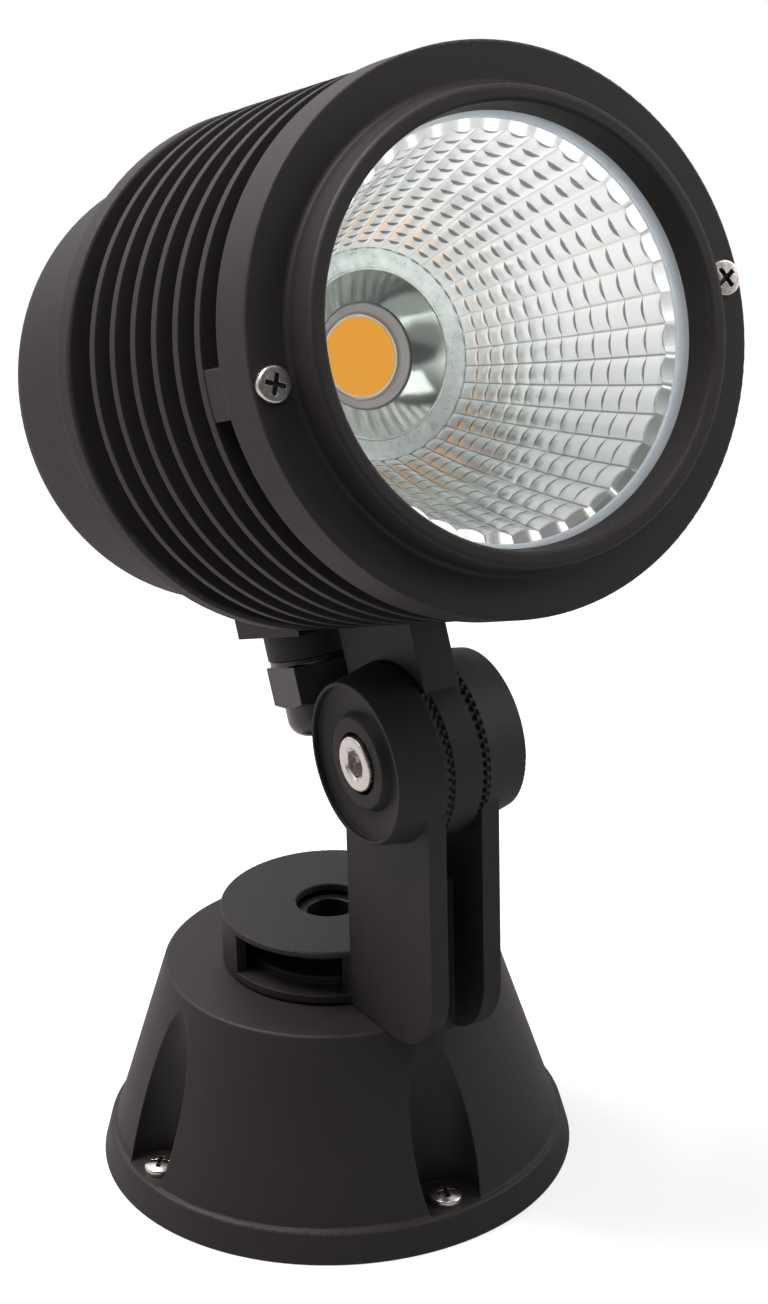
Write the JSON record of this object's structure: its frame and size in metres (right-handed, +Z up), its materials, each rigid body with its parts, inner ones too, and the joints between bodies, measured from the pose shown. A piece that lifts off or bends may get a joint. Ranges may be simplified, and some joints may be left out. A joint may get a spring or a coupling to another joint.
{
  "type": "adjustable garden spotlight",
  "caption": "Outdoor spotlight with a finned round head, glass front and faceted reflector, tilting on a serrated fork that swivels on a conical screw-down base.",
  "frame": {"origin": "centre of the base plate's underside, on the swivel axis", "axes": "+Z up along the swivel axis; the lamp shines towards -Y, raised 21.8 degrees; X lies along the tilt bolt"},
  "size_m": [0.12, 0.1719, 0.2894],
  "materials": {
    "cast_alloy": "matte charcoal powder coat on a die casting",
    "stainless": "bright stainless steel",
    "clear_glass": "clear toughened glass",
    "pale_silicone": "pale grey silicone",
    "mirror_plate": "bright anodised reflector sheet",
    "grey_pad": "grey thermal pad",
    "bare_alloy": "bare aluminium board",
    "phosphor": "yellow phosphor in silicone",
    "beige_resin": "beige moulded resin",
    "black_rubber": "black rubber",
    "driver_case": "potted driver case",
    "black_nylon": "black moulded nylon",
    "zinc_steel": "zinc plated steel",
    "black_steel": "black passivated zinc plate",
    "white_nylon": "white nylon",
    "brass": "brass"
  },
  "bodies": {
    "base": {"canopy": "cast_alloy", "base_plate": "zinc_steel", "base_gasket": "black_rubber", "base_screws": "stainless", "terminal_block": "white_nylon", "earth_screw": "brass", "swivel_stem": "black_steel", "stem_nut": "black_steel", "swivel_nut": "black_steel", "swivel_washer": "black_steel", "stop_pin": "stainless", "swivel_seal": "black_rubber"},
    "bracket": {"swivel_bracket": "cast_alloy", "pivot_bolt": "stainless", "pivot_washer": "stainless", "pivot_nut": "stainless"},
    "head": {"front_bezel": "cast_alloy", "bezel_screws": "stainless", "front_glass": "clear_glass", "glass_gasket": "pale_silicone", "finned_body": "cast_alloy", "reflector": "mirror_plate", "reflector_cup": "mirror_plate", "thermal_pad": "grey_pad", "led_board": "bare_alloy", "led_emitter": "phosphor", "led_holder": "beige_resin", "rear_seal": "black_rubber", "rear_housing": "cast_alloy", "rear_screws": "stainless", "led_driver": "driver_case", "driver_screws": "stainless", "gland_body": "black_nylon", "gland_nut": "black_nylon", "gland_seal": "black_rubber"}
  },
  "joints": [
    {"name": "swivel", "type": "hinge", "parent": "base", "child": "bracket", "pos_m": [0, 0, 0.0522], "axis": [0, 0, 1], "range_deg": [-164, 164]},
    {"name": "tilt", "type": "hinge", "parent": "bracket", "child": "head", "pos_m": [0, -0.0414, 0.124], "axis": [-1, 0, 0], "range_deg": [-110, 37]}
  ]
}
